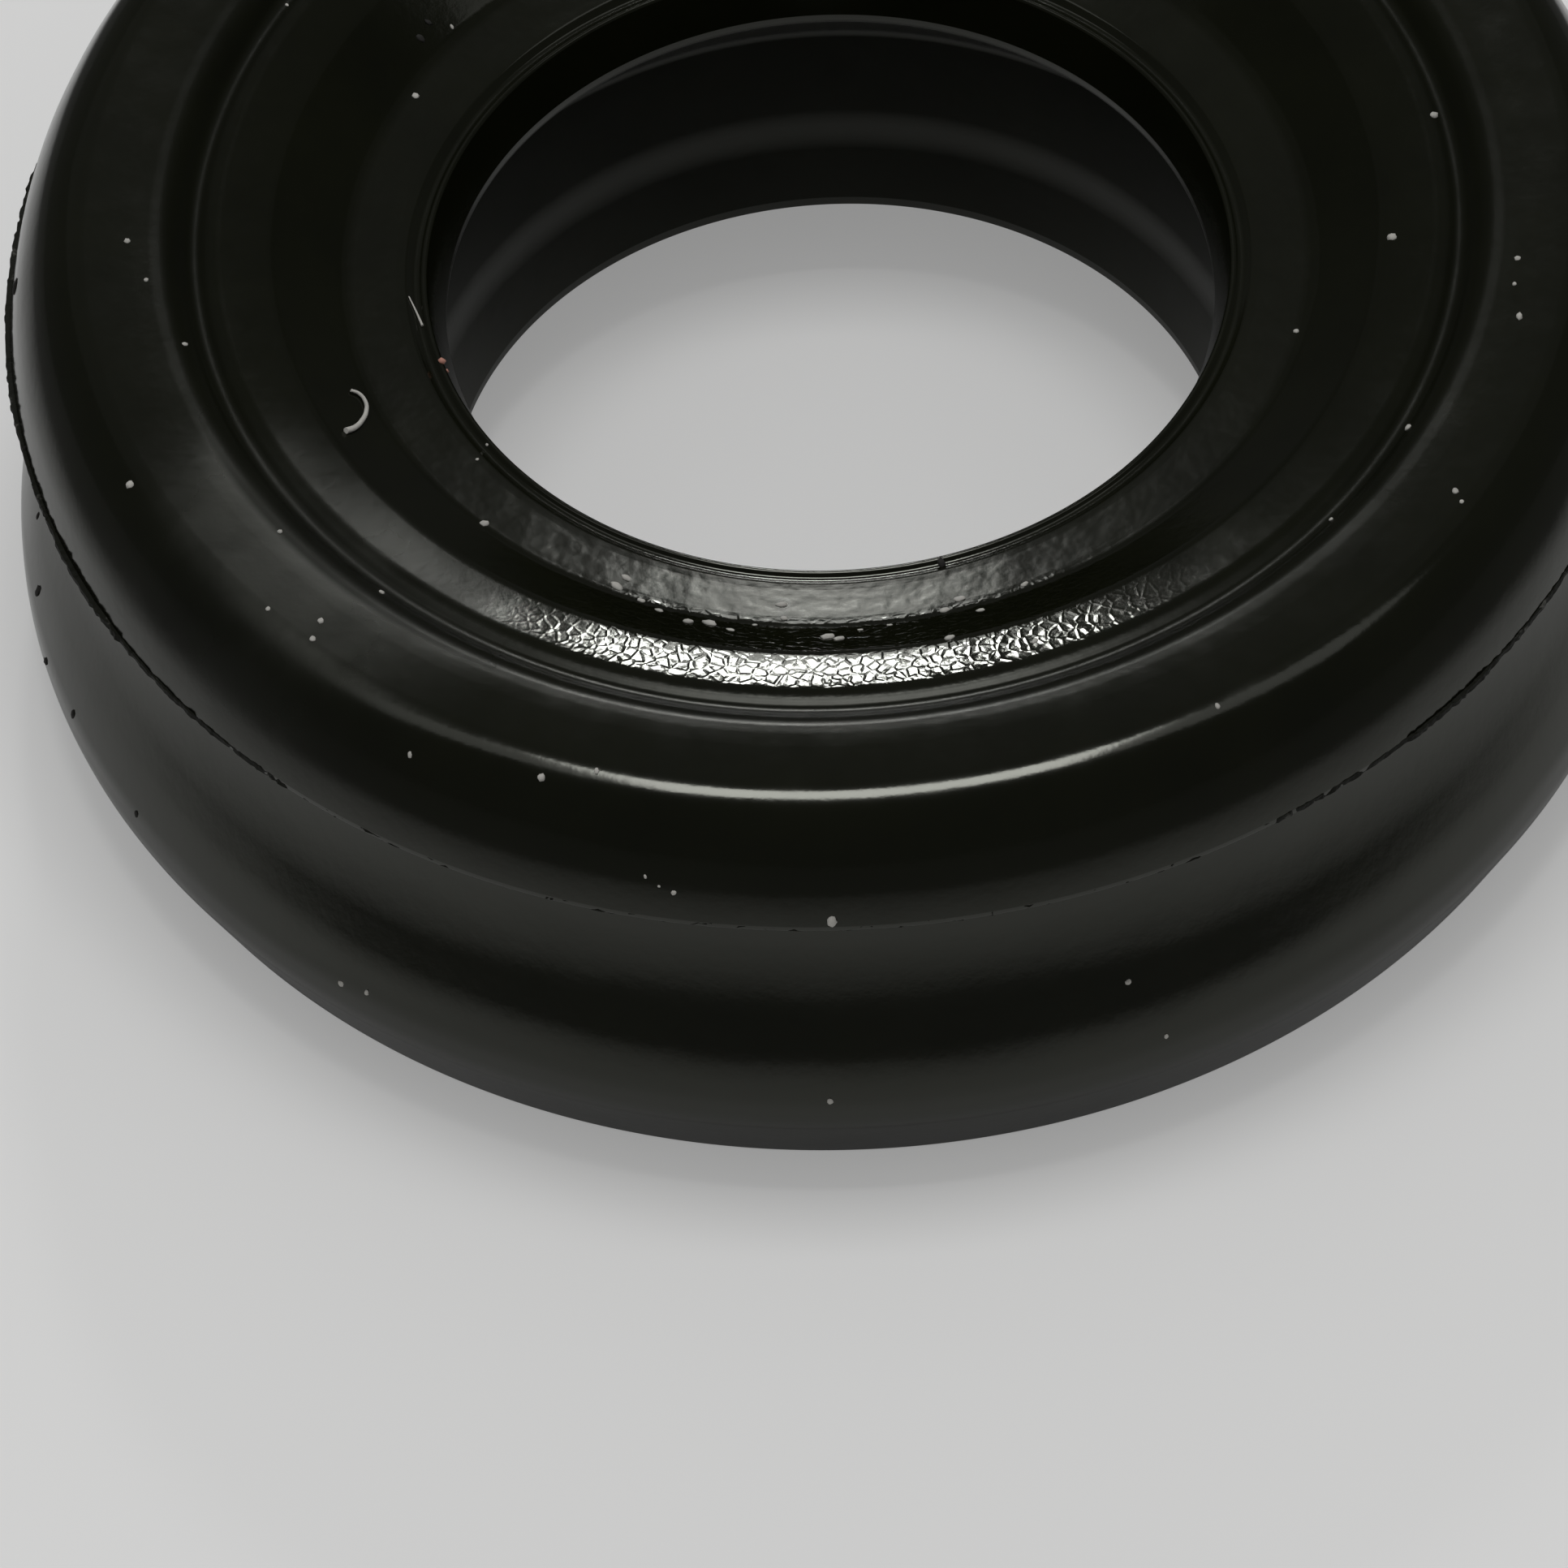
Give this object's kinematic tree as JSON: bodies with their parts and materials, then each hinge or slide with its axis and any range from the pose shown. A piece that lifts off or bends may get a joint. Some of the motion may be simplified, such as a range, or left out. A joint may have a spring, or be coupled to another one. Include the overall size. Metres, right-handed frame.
{
  "type": "shaft seal",
  "caption": "Round moulded rubber shaft seal with a lipped bore, a stepped funnel face and an outside rib that presses into a housing.",
  "frame": {"origin": "centre of the bottom face, on the axis of the bore", "axes": "+Z along the axis, from the plain face up to the funnel face; +X and +Y are free, because the ring is round"},
  "size_m": [0.0252, 0.0252, 0.008],
  "materials": {
    "rubber": "satin"
  },
  "bodies": {
    "root": {"seal_ring": "rubber"}
  },
  "joints": []
}
